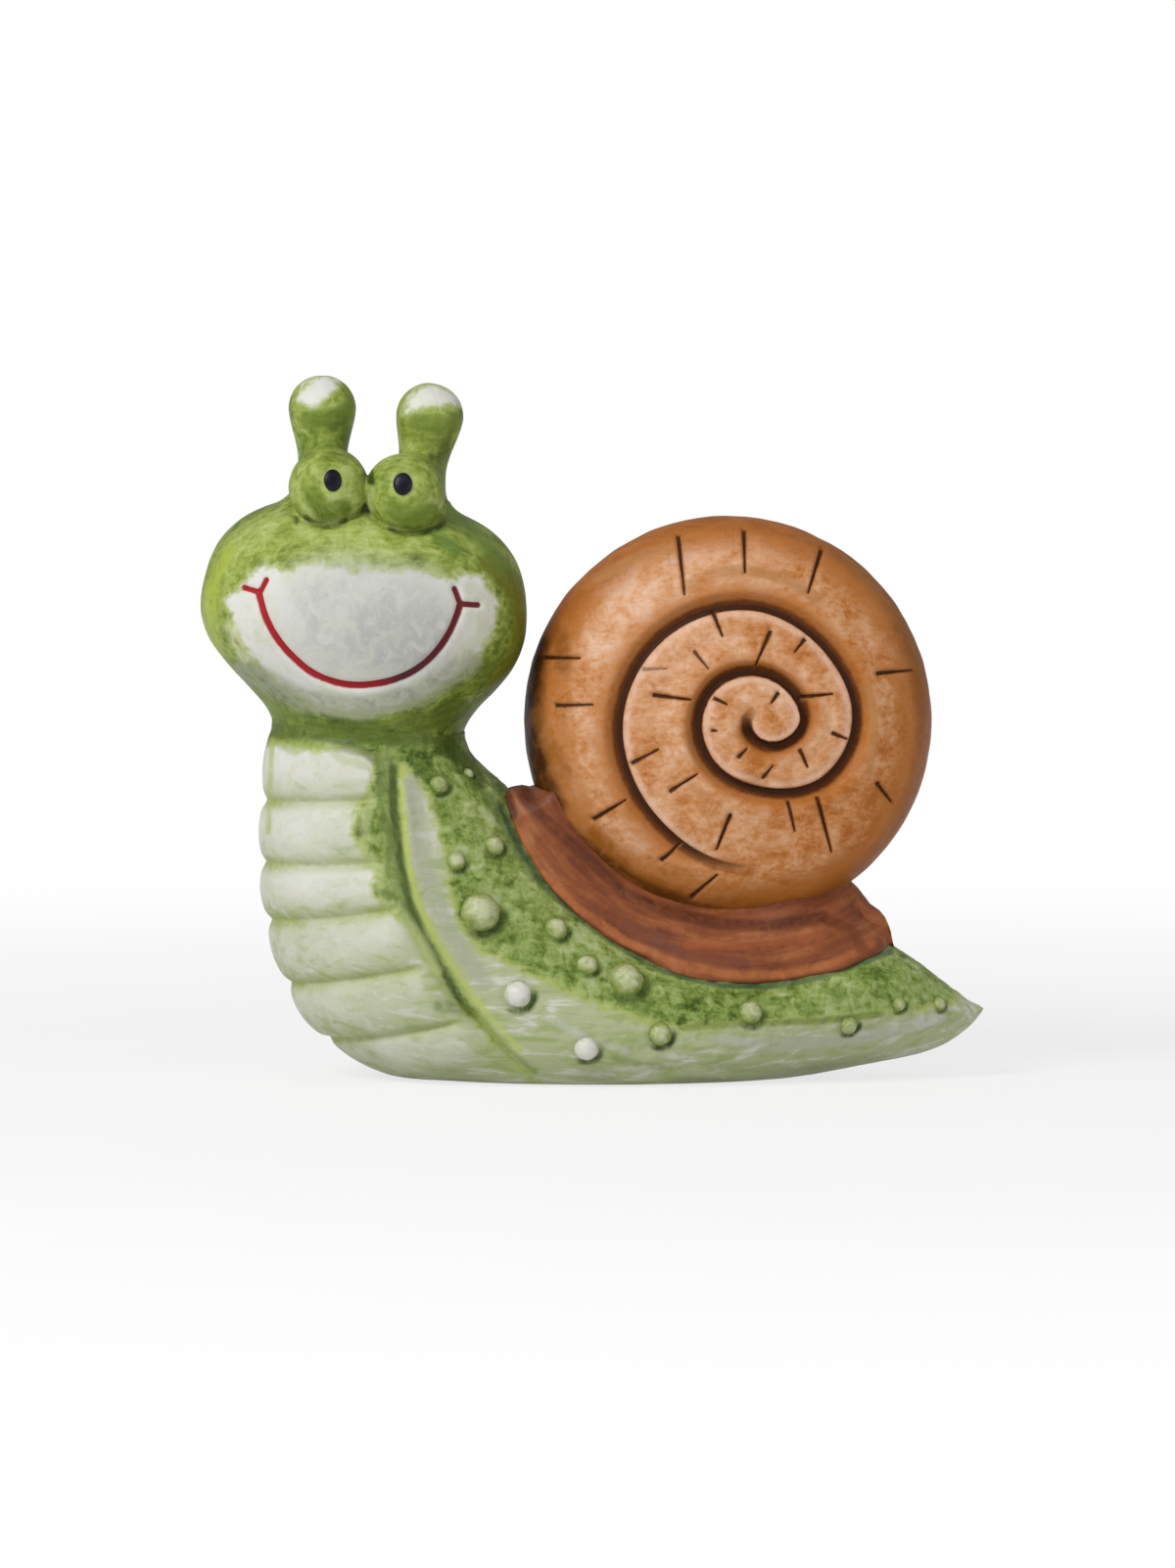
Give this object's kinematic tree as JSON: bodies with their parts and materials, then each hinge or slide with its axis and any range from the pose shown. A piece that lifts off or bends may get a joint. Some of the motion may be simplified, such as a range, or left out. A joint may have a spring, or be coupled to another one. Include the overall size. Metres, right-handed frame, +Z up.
{
  "type": "snail figurine",
  "caption": "Hollow ceramic snail ornament with a smiling head, two feelers, a coiled shell on a saddle and a flat foot.",
  "frame": {"origin": "on the base plane, under the middle of the figurine's length and width", "axes": "+X from the head to the tail, -Y out of the painted front face, +Z up from the flat foot"},
  "size_m": [0.1702, 0.0603, 0.1529],
  "materials": {
    "leaf_green_clay": "satin hand-painted",
    "off_white_clay": "satin hand-painted",
    "tan_clay": "satin hand-painted",
    "terracotta_clay": "satin hand-painted",
    "black_glaze": "gloss"
  },
  "bodies": {
    "root": {"body_casting": "leaf_green_clay", "head_casting": "leaf_green_clay", "shell_casting": "tan_clay", "shell_saddle": "terracotta_clay", "eye_bulb_left": "leaf_green_clay", "eye_bulb_right": "leaf_green_clay", "pupil_left": "black_glaze", "pupil_right": "black_glaze", "feeler_left": "leaf_green_clay", "feeler_right": "leaf_green_clay", "wart_near_1": "leaf_green_clay", "wart_near_2": "leaf_green_clay", "wart_near_3": "leaf_green_clay", "wart_near_4": "leaf_green_clay", "wart_near_5": "leaf_green_clay", "wart_near_6": "leaf_green_clay", "wart_near_7": "off_white_clay", "wart_near_8": "leaf_green_clay", "wart_near_9": "leaf_green_clay", "wart_near_10": "off_white_clay", "wart_near_11": "leaf_green_clay", "wart_near_12": "leaf_green_clay", "wart_near_13": "leaf_green_clay", "wart_near_14": "leaf_green_clay", "wart_near_15": "leaf_green_clay", "wart_far_1": "leaf_green_clay", "wart_far_2": "leaf_green_clay", "wart_far_3": "leaf_green_clay", "wart_far_4": "leaf_green_clay", "wart_far_5": "off_white_clay", "wart_far_6": "leaf_green_clay", "wart_far_7": "off_white_clay", "wart_far_8": "leaf_green_clay", "wart_far_9": "leaf_green_clay", "wart_far_10": "leaf_green_clay", "wart_far_11": "leaf_green_clay"}
  },
  "joints": []
}
